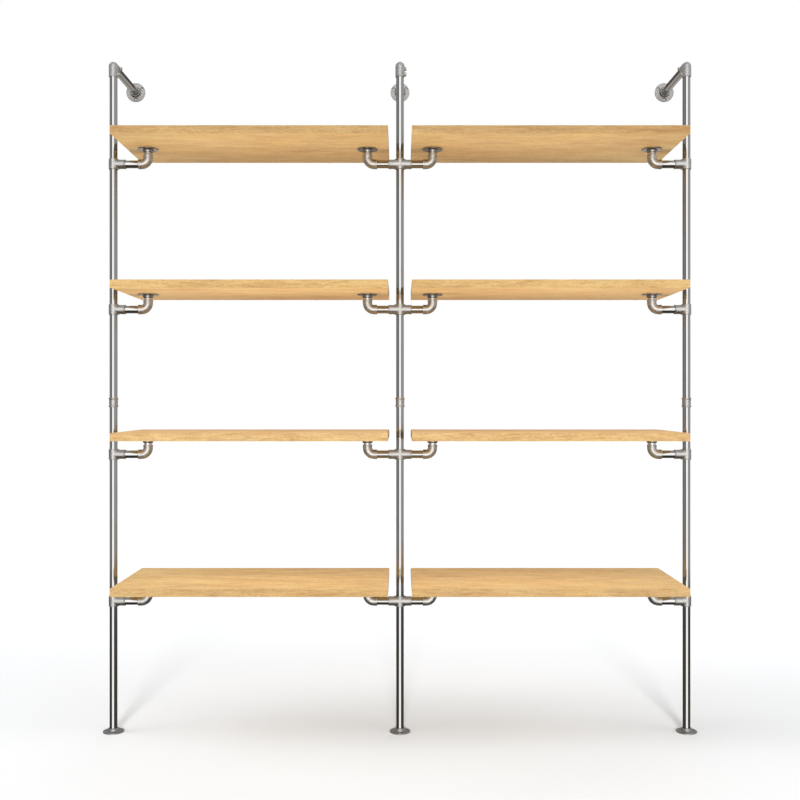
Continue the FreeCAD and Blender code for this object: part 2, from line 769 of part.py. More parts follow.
def copy_of(master, name, x, y, z, rot=None):
    link = doc.addObject("App::Link", name)
    link.LinkedObject = master
    link.LinkTransform = False
    return put(link, x, y, z, rot)


pitch = D["bay_pitch"]
set_copies, wood_copies = [], []
for level, height in LEVELS:
    for px, shifts in ((-pitch, (0.0, D["tee_screw_arm"])),
                       (Size.of(0.0), (0.0, D["cross_screw_arm"],
                                       -D["cross_screw_arm"])),
                       (pitch, (0.0, -D["tee_screw_arm"]))):
        for shift in shifts:
            set_copies.append(copy_of(
                master_set, "set_screw_%02d" % len(set_copies), px + shift,
                0, height, TO_PLUS_Y))
for where, sign in UPRIGHTS:
    x = pitch * float(sign)
    out = TO_MINUS_X if sign > 0 else TO_PLUS_X
    for y, z in ((0.0, D["top_axis"] - D["top_screw"]),
                 (D["top_screw"], D["top_axis"])):
        set_copies.append(copy_of(
            master_set, "set_screw_%02d" % len(set_copies), x, y, z, out))

radius = D["bolt_circle"] / 2.0
for level, height in LEVELS:
    head = height + D["riser_height"] - D["flange_rim"] + D["wood_screw_sink"]
    for riser_x in (D["outer_arm"] - pitch, -D["inner_arm"], D["inner_arm"],
                    pitch - D["outer_arm"]):
        for kx, ky in ((0.8660254, 0.5), (-0.8660254, 0.5), (0.0, -1.0)):
            wood_copies.append(copy_of(
                master_wood, "wood_screw_%02d" % len(wood_copies),
                riser_x + radius * kx, radius * ky, head))
nodes.append(group("set_screws", set_copies))
nodes.append(group("shelf_screws", wood_copies))

doc.recompute()

# --------------------------------------------------------------------- checks
problems = []
for obj in doc.Objects:
    if "Invalid" in obj.State or "Error" in obj.State:
        problems.append("%s: %s" % (obj.Name, obj.State))
for obj in nodes:
    shape = obj.Shape
    if shape.isNull() or not shape.isValid() or not shape.Solids:
        problems.append("%s has no valid solid" % obj.Label)
labels = [obj.Label for obj in nodes]
if len(set(labels)) != len(labels):
    problems.append("two sub-parts share a label")
if len(labels) > 60:
    problems.append("too many sub-parts")
if problems:
    raise RuntimeError("; ".join(problems))

os.makedirs("parts", exist_ok=True)
for obj in nodes:
    obj.Shape.exportStep(os.path.join("parts", obj.Label + ".step"))
    box = obj.Shape.BoundBox
    print("%-18s solids %2d  volume %12.1f  x %8.1f %8.1f  y %7.1f %7.1f"
          "  z %7.1f %7.1f" % (obj.Label, len(obj.Shape.Solids),
                               obj.Shape.Volume, box.XMin, box.XMax,
                               box.YMin, box.YMax, box.ZMin, box.ZMax))
print("%d nodes" % len(nodes))
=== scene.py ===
import math

import bpy
import numpy as np
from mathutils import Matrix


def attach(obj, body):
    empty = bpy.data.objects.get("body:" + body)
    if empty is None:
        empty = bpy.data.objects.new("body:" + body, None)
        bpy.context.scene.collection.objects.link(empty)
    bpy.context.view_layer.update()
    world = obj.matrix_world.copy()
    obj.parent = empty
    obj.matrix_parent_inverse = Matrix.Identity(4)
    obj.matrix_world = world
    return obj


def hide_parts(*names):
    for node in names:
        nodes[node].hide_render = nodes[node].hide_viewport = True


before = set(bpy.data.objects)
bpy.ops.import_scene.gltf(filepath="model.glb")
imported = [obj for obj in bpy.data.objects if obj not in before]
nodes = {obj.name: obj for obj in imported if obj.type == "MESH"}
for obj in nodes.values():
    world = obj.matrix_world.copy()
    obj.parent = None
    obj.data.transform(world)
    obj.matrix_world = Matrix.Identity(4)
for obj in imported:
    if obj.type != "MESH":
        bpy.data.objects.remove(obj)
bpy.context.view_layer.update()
scene = bpy.context.scene

# ---------------------------------------------------------------------------
# sizes, in millimetres, the same as the fixed frame's
# ---------------------------------------------------------------------------
PITCH = 1000.0
LEVELS = {1: 456.2, 2: 968.0, 3: 1473.1, 4: 1980.0}
TOP_AXIS = 2321.2
COUPLER_AXIS = 1149.0
RISER = 53.8
OUTER_ARM, INNER_ARM = 121.0, 113.5
WALL = 310.0
POSTS = (("left", -PITCH), ("center", 0.0), ("right", PITCH))


# ---------------------------------------------------------------------------
# mesh building: closed skins of distance functions, lofts and lathes
# ---------------------------------------------------------------------------
def capped(p, axis, radius, a, b, soft):
    """Distance to a cylinder along an axis, from a to b, with soft edges."""
    others = [i for i in range(3) if i != axis]
    rho = np.hypot(p[:, others[0]], p[:, others[1]])
    q = rho - (radius - soft)
    t = np.abs(p[:, axis] - (a + b) / 2.0) - ((b - a) / 2.0 - soft)
    return (np.hypot(np.maximum(q, 0), np.maximum(t, 0))
            + np.minimum(np.maximum(q, t), 0) - soft)


def round_union(a, b, r):
    """Union of two distances with a fillet of radius r in the corner."""
    r = np.maximum(r, 1e-4)
    u, v = np.maximum(r - a, 0), np.maximum(r - b, 0)
    return np.maximum(r, np.minimum(a, b)) - np.hypot(u, v)


def round_cut(a, b, r):
    """a without b, the rim broken by a small radius."""
    r = max(r, 1e-4)
    u, v = np.maximum(r + a, 0), np.maximum(r - b, 0)
    return np.minimum(-r, np.maximum(a, -b)) + np.hypot(u, v)


def unit_dot(p, i, j, k):
    """How alike two cylinders' outward directions are: axes i and k, where
    both also vary along j."""
    first = np.hypot(p[:, k], p[:, j]) + 1e-9
    second = np.hypot(p[:, i], p[:, j]) + 1e-9
    return p[:, j] ** 2 / (first * second)


def skin(f, low, high, cell):
    """Closed quad mesh of f = 0, its points drawn onto the surface."""
    axes = [np.arange(low[i], high[i] + cell, cell) for i in range(3)]
    shape = tuple(len(a) for a in axes)
    grid = np.stack(np.meshgrid(*axes, indexing="ij"), -1).reshape(-1, 3)
    value = f(grid).reshape(shape)
    inside = value < 0
    offsets = [(x, y, z) for x in (0, 1) for y in (0, 1) for z in (0, 1)]

    def corner(arr, o):
        return arr[o[0]:shape[0] - 1 + o[0], o[1]:shape[1] - 1 + o[1],
                   o[2]:shape[2] - 1 + o[2]]

    total = sum(corner(inside, o).astype(np.int8) for o in offsets)
    mixed = (total > 0) & (total < 8)
    index = np.full(mixed.shape, -1, np.int64)
    index[mixed] = np.arange(mixed.sum())
    where = np.argwhere(mixed)
    values = np.stack([corner(value, o)[mixed] for o in offsets], 1)
    base = np.stack([axes[i][where[:, i]] for i in range(3)], 1)
    spot = [base + np.array(o) * cell for o in offsets]
    acc = np.zeros_like(base)
    count = np.zeros(len(base))
    for a in range(8):
        for b in range(a + 1, 8):
            step = [abs(offsets[a][i] - offsets[b][i]) for i in range(3)]
            if sum(step) != 1:
                continue
            va, vb = values[:, a], values[:, b]
            cross = (va < 0) != (vb < 0)
            t = np.where(cross, va / np.where(cross, va - vb, 1), 0)[:, None]
            acc += np.where(cross[:, None],
                            spot[a] + t * (spot[b] - spot[a]), 0)
            count += cross
    verts = acc / count[:, None]
    faces = []
    for axis in range(3):
        j, k = (axis + 1) % 3, (axis + 2) % 3
        lower = [slice(None)] * 3
        upper = [slice(None)] * 3
        lower[axis], upper[axis] = slice(0, -1), slice(1, None)
        a, b = inside[tuple(lower)], inside[tuple(upper)]
        hits = np.argwhere(a != b)
        ok = ((hits[:, j] > 0) & (hits[:, k] > 0)
              & (hits[:, j] < shape[j] - 1) & (hits[:, k] < shape[k] - 1))
        hits = hits[ok]
        outward = a[tuple(hits.T)]
        quad = []
        for dj, dk in ((-1, -1), (0, -1), (0, 0), (-1, 0)):
            cellpos = hits.copy()
            cellpos[:, j] += dj
            cellpos[:, k] += dk
            quad.append(index[tuple(cellpos.T)])
        quad = np.stack(quad, 1)
        quad[~outward] = quad[~outward][:, ::-1]
        faces.append(quad)
    faces = np.concatenate(faces)
    eps = cell * 0.05
    for _ in range(5):
        here = f(verts)
        grad = np.stack([(f(verts + eps * np.eye(3)[i])
                          - f(verts - eps * np.eye(3)[i])) / (2 * eps)
                         for i in range(3)], 1)
        size = (grad ** 2).sum(1) + 1e-6
        move = -(here / size)[:, None] * grad
        far = np.linalg.norm(move, axis=1)
        move *= np.minimum(1.0, 0.45 * cell / (far + 1e-9))[:, None]
        verts = verts + move
    return verts, faces


def loft(rings):
    """Closed tube-like mesh through rings of equal length, the last ring
    joined back to the first."""
    count, around = len(rings), len(rings[0])
    verts = np.concatenate(rings)
    i, j = np.meshgrid(np.arange(count), np.arange(around), indexing="ij")
    ni, nj = (i + 1) % count, (j + 1) % around
    faces = np.stack([i * around + j, i * around + nj,
                      ni * around + nj, ni * around + j], -1).reshape(-1, 4)
    return verts, faces


def lathe(profile, around=72):
    """Revolves a closed profile of (radius, z) points about Z."""
    turn = np.linspace(0, 2 * math.pi, around, endpoint=False)
    rings = [np.stack([r * np.cos(turn), r * np.sin(turn),
                       np.full(around, z)], 1) for r, z in profile]
    return loft(rings)


def moved(mesh, rot=None, shift=(0, 0, 0)):
    verts, faces = mesh
    if rot is not None:
        verts = verts @ np.array(rot, float).T
        if np.linalg.det(np.array(rot, float)) < 0:
            faces = faces[:, ::-1]
    return verts + np.array(shift, float), faces


def joined(meshes):
    verts, faces, start = [], [], 0
    for v, q in meshes:
        verts.append(v)
        faces.append(q + start)
        start += len(v)
    return np.concatenate(verts), np.concatenate(faces)


def outward(mesh):
    """Flips a closed mesh whose faces look inwards."""
    v, q = mesh
    a, b, c, d = (v[q[:, i]] for i in range(4))
    volume = (np.einsum("ij,ij->i", a, np.cross(b, c)).sum()
              + np.einsum("ij,ij->i", a, np.cross(c, d)).sum())
    return (v, q[:, ::-1]) if volume < 0 else mesh


def make_object(name, mesh, material, replaced):
    verts, faces = mesh
    data = bpy.data.meshes.new(name)
    data.vertices.add(len(verts))
    data.vertices.foreach_set(
        "co", (verts / 1000.0).astype(np.float32).ravel())
    data.loops.add(faces.size)
    data.polygons.add(len(faces))
    data.loops.foreach_set("vertex_index", faces.astype(np.int32).ravel())
    data.polygons.foreach_set(
        "loop_start", np.arange(0, faces.size, 4, dtype=np.int32))
    data.polygons.foreach_set(
        "use_smooth", np.ones(len(faces), dtype=bool))
    data.update(calc_edges=True)
    data.validate()
    data.materials.append(material)
    obj = bpy.data.objects.new(name, data)
    scene.collection.objects.link(obj)
    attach(obj, "root")
    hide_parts(replaced)
    return obj


# ---------------------------------------------------------------------------
# the castings
# ---------------------------------------------------------------------------
def arm_fitting(arm, screw_at, sides):
    """Slip-on sleeve with one or two arm sockets, blended as it is cast."""
    def f(p):
        sleeve = capped(p, 2, 16.3, -18.2, 18.2, 0.9)
        low = -arm if sides == 2 else -2.0
        socket = capped(p, 0, 16.05, low, arm, 0.8)
        like = unit_dot(p, 2, 1, 0)
        body = round_union(sleeve, socket,
                           6.0 * np.clip(1.0 - 1.1 * like, 0, 1))
        # low collar at each socket's mouth
        collar = capped(p, 0, 16.4, arm - 3.4, arm, 0.7)
        if sides == 2:
            collar = np.minimum(
                collar, capped(p, 0, 16.4, -arm, -arm + 3.4, 0.7))
        body = round_union(body, collar, 0.8)
        bosses = capped(p, 1, 6.5, 2.0, 22.4, 0.9)
        for s in ((screw_at,) if sides == 1 else (screw_at, -screw_at)):
            q = p - np.array([s, 0, 0])
            bosses = np.minimum(bosses, capped(q, 1, 6.5, 2.0, 22.4, 0.9))
        body = round_union(body, bosses, 2.2)
        body = np.maximum(body, np.abs(p[:, 2]) - 18.2)
        body = round_cut(body, capped(p, 2, 13.55, -30, 30, 0.01), 0.5)
        body = round_cut(body, capped(p, 0, 13.45, 21.0, 60, 0.01), 0.5)
        taps = capped(p, 1, 4.0, 12.0, 30, 0.01)
        for s in ((screw_at,) if sides == 1 else (screw_at, -screw_at)):
            q = p - np.array([s, 0, 0])
            taps = np.minimum(taps, capped(q, 1, 4.0, 12.0, 30, 0.01))
        if sides == 2:
            body = round_cut(body, capped(p, 0, 13.45, -60, -21.0, 0.01), 0.5)
        return round_cut(body, taps, 0.4)

    low = (-arm - 2 if sides == 2 else -19.0, -19.0, -20.0)
    return outward(skin(f, low, (arm + 2, 25.0, 20.0), 0.72))


def top_fitting(side):
    """Slip-on corner elbow: mouths down and back, screw bosses to one side."""
    def f(p):
        down = capped(p, 2, 16.2, -36.6, 0.0, 0.8)
        back = capped(p, 1, 16.2, 0.0, 36.6, 0.8)
        ball = np.linalg.norm(p, axis=1) - 16.2
        like = unit_dot(p, 2, 0, 1)
        body = round_union(down, back, 5.0 * np.clip(1 - 1.1 * like, 0, 1))
        body = np.minimum(body, ball)
        bosses = np.minimum(
            capped(p - np.array([0, 0, -27.4]), 0, 6.5,
                   *sorted((side * 2.0, side * 22.4)), 0.9),
            capped(p - np.array([0, 27.4, 0]), 0, 6.5,
                   *sorted((side * 2.0, side * 22.4)), 0.9))
        body = round_union(body, bosses, 2.2)
        body = np.maximum(body, -36.6 - p[:, 2])
        body = np.maximum(body, p[:, 1] - 36.6)
        body = round_cut(body, capped(p, 2, 13.45, -60, -17.0, 0.01), 0.5)
        body = round_cut(body, capped(p, 1, 13.45, 17.0, 60, 0.01), 0.5)
        core = np.minimum(
            np.minimum(capped(p, 2, 10.0, -30, 0, 0.01),
                       capped(p, 1, 10.0, 0, 30, 0.01)),
            np.linalg.norm(p, axis=1) - 10.0)
        body = np.maximum(body, -core)
        taps = np.minimum(
            capped(p - np.array([0, 0, -27.4]), 0, 4.0,
                   *sorted((side * 12.0, side * 30.0)), 0.01),
            capped(p - np.array([0, 27.4, 0]), 0, 4.0,
                   *sorted((side * 12.0, side * 30.0)), 0.01))
        return round_cut(body, taps, 0.4)

    low = (-19.0 if side > 0 else -25.0, -19.0, -39.0)
    high = (25.0 if side > 0 else 19.0, 39.0, 19.0)
    return outward(skin(f, low, high, 0.75))


def flange_plate(web=-5.0):
    """Round flange: crowned disc, conical hub, three countersunk holes that
    stop at a web height above the back."""
    def f(p):
        rho = np.hypot(p[:, 0], p[:, 1])
        z = p[:, 2]
        top = 4.4 - 0.75 * np.clip((rho - 20.0) / 15.7, 0, 1.05) ** 1.5
        q = rho - (35.7 - 0.9)
        t = z - (top - 0.9)
        disc = (np.hypot(np.maximum(q, 0), np.maximum(t, 0))
                + np.minimum(np.maximum(q, t), 0) - 0.9)
        radius = np.interp(z, [0, 4.4, 9.0, 12.2, 14.1],
                           [18.9, 18.7, 18.3, 17.5, 16.9])
        q = rho - (radius - 0.6)
        t = z - (14.1 - 0.6)
        hub = (np.hypot(np.maximum(q, 0), np.maximum(t, 0))
               + np.minimum(np.maximum(q, t), 0) - 0.6)
        body = round_union(disc, hub, 2.4)
        body = np.maximum(body, -z)
        bore = np.maximum(rho - 13.45, 2.2 - z)
        body = round_cut(body, bore, 0.35)
        body = np.maximum(body, 10.0 - rho)
        for k in range(3):
            a = math.radians(120.0 * k)
            d = np.hypot(p[:, 0] - 26.75 * math.cos(a),
                         p[:, 1] - 26.75 * math.sin(a))
            hole = np.maximum(d - 3.0, web - z)
            cone = np.maximum((d - 5.8 + (4.05 - z)) * 0.7071, d - 5.9)
            body = round_cut(body, np.minimum(hole, cone), 0.25)
        return body

    return outward(skin(f, (-37.5, -37.5, -1.5), (37.5, 37.5, 16.0), 0.72))


def long_elbow(around=64):
    """Long-sweep elbow, one mouth to -X and one to +Z, beaded mouths."""
    face, bend = 33.5, 22.8
    leg = face - bend
    arc = bend * math.pi / 2
    length = 2 * leg + arc

    def centre(s):
        if s <= leg:
            return np.array([-face + s, 0, 0.0]), np.array([0, 0, 1.0])
        if s >= leg + arc:
            return (np.array([0.0, 0, bend + s - leg - arc]),
                    np.array([-1.0, 0, 0]))
        a = (s - leg) / bend
        return (np.array([-bend + bend * math.sin(a), 0,
                          bend - bend * math.cos(a)]),
                np.array([-math.sin(a), 0, math.cos(a)]))

    half = [(0.0, 13.9), (0.0, 16.0), (0.12, 16.35), (0.38, 16.65),
            (0.8, 16.85), (1.4, 16.9), (3.0, 16.9), (4.8, 16.9),
            (5.5, 16.85), (6.2, 16.7), (6.9, 16.48), (7.6, 16.34),
            (8.4, 16.3)]
    middle = [(s, 16.3) for s in
              np.linspace(8.4, length - 8.4, 26)[1:-1]]
    outer = half + middle + [(length - s, r) for s, r in half[::-1]]
    inner_half = [(length - 0.45, 13.45), (length - 7.0, 13.45),
                  (length - 13.7, 13.45), (length - 14.0, 13.2),
                  (length - 14.0, 11.0), (length - 14.2, 10.85)]
    inner_mid = [(s, 10.85) for s in
                 np.linspace(length - 14.2, 14.2, 22)[1:-1]]
    inner = inner_half + inner_mid + [(length - s, r)
                                      for s, r in inner_half[::-1]]
    turn = np.linspace(0, 2 * math.pi, around, endpoint=False)
    rings = []
    for s, r in outer + inner:
        c, up = centre(s)
        side = np.array([0, 1.0, 0])
        rings.append(c + r * (np.cos(turn)[:, None] * up
                              + np.sin(turn)[:, None] * side))
    return outward(loft(rings))


def coupler_mesh():
    """Beaded socket about Z, its middle at z = 0."""
    half = [(14.0, -16.2), (15.6, -16.2), (16.1, -16.08), (16.45, -15.75),
            (16.6, -15.2), (16.6, -13.6), (16.5, -12.7), (16.2, -12.0),
            (15.7, -11.4), (15.25, -10.9), (15.1, -10.2), (15.0, -6.0),
            (14.9, -3.0)]
    outer = half + [(14.85, 0.0)] + [(r, -z) for r, z in half[::-1]]
    inner = [(13.45, 15.7), (13.45, 8.0), (13.45, 1.1), (13.2, 1.0),
             (11.4, 1.0), (11.25, 0.85), (11.25, -0.85), (11.4, -1.0),
             (13.2, -1.0), (13.45, -1.1), (13.45, -8.0), (13.45, -15.7)]
    return outward(lathe(outer + inner, 80))


# ---------------------------------------------------------------------------
# material helpers
# ---------------------------------------------------------------------------
class Nodes:
    def __init__(self, name):
        self.material = bpy.data.materials.new(name)
        self.material.use_nodes = True
        self.tree = self.material.node_tree
        self.tree.nodes.clear()
        self.out = self.tree.nodes.new("ShaderNodeOutputMaterial")
        self.shader = self.tree.nodes.new("ShaderNodeBsdfPrincipled")
        self.link(self.shader.outputs[0], self.out.inputs[0])
        self.coord = self.tree.nodes.new("ShaderNodeTexCoord")

    def link(self, a, b):
        self.tree.links.new(a, b)

    def give(self, node, socket, value):
        if isinstance(value, bpy.types.NodeSocket):
            self.link(value, node.inputs[socket])
        else:
            node.inputs[socket].default_value = value

    def scaled(self, scale, shift=(0, 0, 0), source=None):
        n = self.tree.nodes.new("ShaderNodeMapping")
        self.link(source or self.coord.outputs["Object"], n.inputs["Vector"])
        n.inputs["Scale"].default_value = scale
        n.inputs["Location"].default_value = shift
        return n.outputs[0]

    def noise(self, vector, scale=1.0, detail=3.0, rough=0.5, bend=0.0):
        n = self.tree.nodes.new("ShaderNodeTexNoise")
        self.link(vector, n.inputs["Vector"])
        n.inputs["Scale"].default_value = scale
        n.inputs["Detail"].default_value = detail
        n.inputs["Roughness"].default_value = rough
        n.inputs["Distortion"].default_value = bend
        return n.outputs[0]

    def cells(self, vector, scale=1.0, feature="F1"):
        n = self.tree.nodes.new("ShaderNodeTexVoronoi")
        n.feature = feature
        self.link(vector, n.inputs["Vector"])
        n.inputs["Scale"].default_value = scale
        return n.outputs["Distance"]

    def math(self, kind, a, b=0.0, c=None, clamp=False):
        n = self.tree.nodes.new("ShaderNodeMath")
        n.operation = kind
        n.use_clamp = clamp
        self.give(n, 0, a)
        self.give(n, 1, b)
        if c is not None:
            self.give(n, 2, c)
        return n.outputs[0]

    def remap(self, value, a, b, c, d):
        n = self.tree.nodes.new("ShaderNodeMapRange")
        self.give(n, 0, value)
        for i, v in enumerate((a, b, c, d), start=1):
            n.inputs[i].default_value = v
        return n.outputs[0]

    def ramp(self, value, stops):
        n = self.tree.nodes.new("ShaderNodeValToRGB")
        self.give(n, 0, value)
        ramp = n.color_ramp
        while len(ramp.elements) < len(stops):
            ramp.elements.new(0.5)
        for e, (at, colour) in zip(ramp.elements, stops):
            e.position = at
            e.color = (*colour, 1.0)
        return n.outputs[0]

    def mix(self, factor, a, b, kind="MIX"):
        n = self.tree.nodes.new("ShaderNodeMix")
        n.data_type = "RGBA"
        n.blend_type = kind
        self.give(n, 0, factor)
        for socket, v in ((6, a), (7, b)):
            if isinstance(v, tuple):
                n.inputs[socket].default_value = (*v, 1.0)
            else:
                self.link(v, n.inputs[socket])
        return n.outputs[2]

    def bump(self, height, strength, distance, normal=None):
        n = self.tree.nodes.new("ShaderNodeBump")
        n.inputs["Strength"].default_value = strength
        n.inputs["Distance"].default_value = distance
        self.link(height, n.inputs["Height"])
        if normal is not None:
            self.link(normal, n.inputs["Normal"])
        return n.outputs[0]

    def set(self, **values):
        for key, value in values.items():
            self.give(self.shader, key.replace("_", " "), value)


def tube_material(name, axis, dark=(0.285, 0.280, 0.272),
                  mid=(0.308, 0.305, 0.300), light=(0.325, 0.323, 0.320),
                  rough_low=0.055, rough_high=0.12):
    """Bright drawn steel tube; its faint drawing lines run along the axis."""
    m = Nodes(name)
    along = [700.0, 700.0, 700.0]
    along[axis] = 4.0
    lines = m.noise(m.scaled(tuple(along)), 1.0, 4.0, 0.6)
    cloud = m.noise(m.scaled((16.0, 16.0, 16.0)), 1.0, 5.0, 0.6)
    spots = m.noise(m.scaled((260.0, 260.0, 260.0)), 1.0, 3.0, 0.6)
    tone = m.math("ADD", m.math("MULTIPLY", lines, 0.4),
                  m.math("ADD", m.math("MULTIPLY", cloud, 0.4),
                         m.math("MULTIPLY", spots, 0.2)))
    colour = m.ramp(tone, [(0.32, dark), (0.50, mid), (0.70, light)])
    stain = m.remap(spots, 0.60, 0.72, 0.0, 0.30)
    colour = m.mix(stain, colour, (0.20, 0.185, 0.165))
    rough = m.remap(m.math("ADD", m.math("MULTIPLY", lines, 0.5),
                           m.math("MULTIPLY", spots, 0.5)),
                    0.35, 0.70, rough_low, rough_high)
    m.set(Base_Color=colour, Metallic=1.0, Roughness=rough)
    m.set(Normal=m.bump(lines, 0.01, 0.00004))
    return m.material


def cast_material(name, dark, mid, light, rough_low, rough_high, seed,
                  speck=0.5, grain=1.0, metal=1.0):
    """Galvanised malleable casting: a matt zinc skin over a cast grain;
    where the zinc is powdery, the surface is less than fully metallic."""
    m = Nodes(name)
    shift = (seed, seed * 1.7, seed * 0.6)
    cloud = m.noise(m.scaled((90.0, 90.0, 90.0), shift), 1.0, 5.0, 0.6, 0.3)
    patch = m.noise(m.scaled((240.0, 240.0, 240.0), shift), 1.0, 3.0, 0.55)
    sand = m.noise(m.scaled((1500.0, 1500.0, 1500.0), shift), 1.0, 3.0, 0.6)
    pits = m.cells(m.scaled((620.0, 620.0, 620.0), shift), 1.0)
    tone = m.math("ADD", m.math("MULTIPLY", cloud, 0.45),
                  m.math("ADD", m.math("MULTIPLY", patch, 0.55 - speck * 0.4),
                         m.math("MULTIPLY", sand, speck * 0.4)))
    colour = m.ramp(tone, [(0.34, dark), (0.50, mid), (0.66, light)])
    rough = m.remap(m.math("ADD", m.math("MULTIPLY", patch, 0.6),
                           m.math("MULTIPLY", sand, 0.4)),
                    0.3, 0.7, rough_low, rough_high)
    height = m.math("ADD", m.math("MULTIPLY", sand, 0.5),
                    m.math("MULTIPLY", m.math("MINIMUM", pits, 0.45), 0.8))
    m.set(Base_Color=colour, Metallic=metal, Roughness=rough)
    first = m.bump(cloud, 0.05 * grain, 0.0005)
    m.set(Normal=m.bump(height, 0.12 * grain, 0.00018, first))
    return m.material


def screw_material(name):
    m = Nodes(name)
    fine = m.noise(m.scaled((1800.0, 1800.0, 1800.0)), 1.0, 3.0, 0.6)
    cloud = m.noise(m.scaled((300.0, 300.0, 300.0)), 1.0, 3.0, 0.5)
    colour = m.ramp(cloud, [(0.3, (0.46, 0.465, 0.475)),
                            (0.7, (0.58, 0.585, 0.59))])
    m.set(Base_Color=colour, Metallic=1.0,
          Roughness=m.remap(fine, 0.3, 0.7, 0.16, 0.30))
    m.set(Normal=m.bump(fine, 0.12, 0.0001))
    return m.material


def oak_material(name, seed, tint, long_face_shade):
    """Light oiled oak, grain along X: long streaks with a few cathedrals,
    short brown flecks in clusters and open pores; the end faces darker, partly
    the oak's own end grain and partly painted shade, and the front and back
    faces tinted per level as painted shade (painted light on level 2)."""
    m = Nodes(name)
    place = (seed * 3.1, seed * 1.3, seed * 0.7)
    split = m.tree.nodes.new("ShaderNodeSeparateXYZ")
    m.link(m.coord.outputs["Object"], split.inputs[0])
    # growth rings about a pith that wanders below the board
    drift = m.noise(m.scaled((0.9, 2.6, 2.6), place), 1.0, 3.0, 0.5)
    wobble = m.noise(m.scaled((2.6, 20.0, 20.0), place), 1.0, 4.0, 0.6)
    y = m.math("ADD", split.outputs["Y"],
               m.math("MULTIPLY", m.math("SUBTRACT", drift, 0.5), 0.22))
    z = m.math("ADD", split.outputs["Z"],
               m.math("MULTIPLY", m.math("SUBTRACT", wobble, 0.5), 0.024))
    dy = m.math("SUBTRACT", y, 0.06 * math.sin(seed * 2.3))
    dz = m.math("ADD", m.math("FLOORED_MODULO", z, 0.5), 0.05)
    radius = m.math("SQRT", m.math("ADD", m.math("MULTIPLY", dy, dy),
                                   m.math("MULTIPLY", dz, dz)))
    ring = m.math("FRACT", m.math("MULTIPLY", radius, 135.0))
    late = m.math("POWER", ring, 2.0)
    # long streaks and clouds, drawn out along the grain
    patch = m.noise(m.scaled((3.2, 10.0, 26.0), place), 1.0, 3.0, 0.5, 0.3)
    broad = m.noise(m.scaled((6.5, 38.0, 38.0), place), 1.0, 5.0, 0.62, 0.5)
    streak = m.noise(m.scaled((17.0, 150.0, 150.0), place), 1.0, 5.0, 0.65,
                     0.3)
    hair = m.noise(m.scaled((34.0, 520.0, 520.0), place), 1.0, 3.0, 0.6)
    pore = m.noise(m.scaled((90.0, 1300.0, 1300.0), place), 1.0, 2.0, 0.5)
    hue = m.noise(m.scaled((5.0, 14.0, 30.0), place), 1.0, 3.0, 0.5, 0.2)
    tone = m.math("ADD", m.math("MULTIPLY", broad, 0.32),
                  m.math("ADD", m.math("MULTIPLY", streak, 0.42),
                         m.math("MULTIPLY", patch, 0.26)))
    tone = m.math("SUBTRACT", tone,
                  m.math("MULTIPLY", m.math("SUBTRACT", late, 0.33), 0.045))
    r, g, b = tint[0], tint[1] * 1.02, tint[2]

    def shade(colour):
        return (colour[0] * r, colour[1] * g, colour[2] * b)

    colour = m.ramp(tone, [(0.38, shade((0.60, 0.345, 0.138))),
                           (0.455, shade((0.72, 0.452, 0.190))),
                           (0.52, shade((0.82, 0.545, 0.236))),
                           (0.60, shade((0.905, 0.642, 0.284)))])
    # golden and browner stretches
    colour = m.mix(m.remap(hue, 0.36, 0.64, 0.0, 1.0), colour,
                   (1.0, 0.955, 0.86), "MULTIPLY")
    # clusters of short brown flecks
    where = m.remap(patch, 0.45, 0.58, 0.15, 1.0)
    fleck = m.noise(m.scaled((40.0, 300.0, 300.0), place), 1.0, 3.0, 0.55)
    fleck = m.math("MULTIPLY", m.remap(fleck, 0.60, 0.68, 0.0, 1.0), where)
    colour = m.mix(m.math("MULTIPLY", fleck, 0.46, clamp=True), colour,
                   shade((0.44, 0.225, 0.080)))
    # short ticks all over, where the cut opens the large vessels
    tick = m.noise(m.scaled((95.0, 380.0, 380.0), place), 1.0, 2.0, 0.6, 0.2)
    colour = m.mix(m.remap(tick, 0.56, 0.66, 0.0, 0.42), colour,
                   shade((0.50, 0.265, 0.100)))
    pale = m.remap(tick, 0.44, 0.33, 0.0, 0.38)
    colour = m.mix(pale, colour, shade((0.96, 0.70, 0.33)))
    pores = m.remap(pore, 0.60, 0.70, 0.0, 1.0)
    pores = m.math("MULTIPLY", pores, m.remap(late, 0.0, 0.5, 1.0, 0.35))
    colour = m.mix(m.math("MULTIPLY", pores, 0.28, clamp=True), colour,
                   shade((0.38, 0.215, 0.085)))
    colour = m.mix(m.remap(hair, 0.35, 0.65, 0.0, 0.14), colour,
                   shade((0.90, 0.68, 0.36)))
    # end grain goes darker: partly the oak's own end grain, partly painted
    # shade on the board ends
    facing = m.tree.nodes.new("ShaderNodeSeparateXYZ")
    m.link(m.coord.outputs["Normal"], facing.inputs[0])
    end = m.remap(m.math("ABSOLUTE", facing.outputs["X"]),
                  0.75, 0.95, 0.0, 0.88)
    colour = m.mix(end, colour, shade((0.43, 0.335, 0.255)))
    # painted shade on the front and back faces, a tint set per level, lighter
    # on level 2 as painted light
    long_face_mask = m.remap(m.math("ABSOLUTE", facing.outputs["Y"]),
                        0.75, 0.95, 0.0, 1.0)
    colour = m.mix(long_face_mask, colour, m.mix(1.0, colour, long_face_shade, "MULTIPLY"))
    m.set(Base_Color=colour, Metallic=0.0,
          Roughness=m.remap(streak, 0.3, 0.7, 0.46, 0.60))
    m.set(Specular_IOR_Level=0.12)
    height = m.math("SUBTRACT", m.math("MULTIPLY", hair, 0.5),
                    m.math("MULTIPLY", pores, 0.5))
    m.set(Normal=m.bump(height, 0.20, 0.0003))
    return m.material


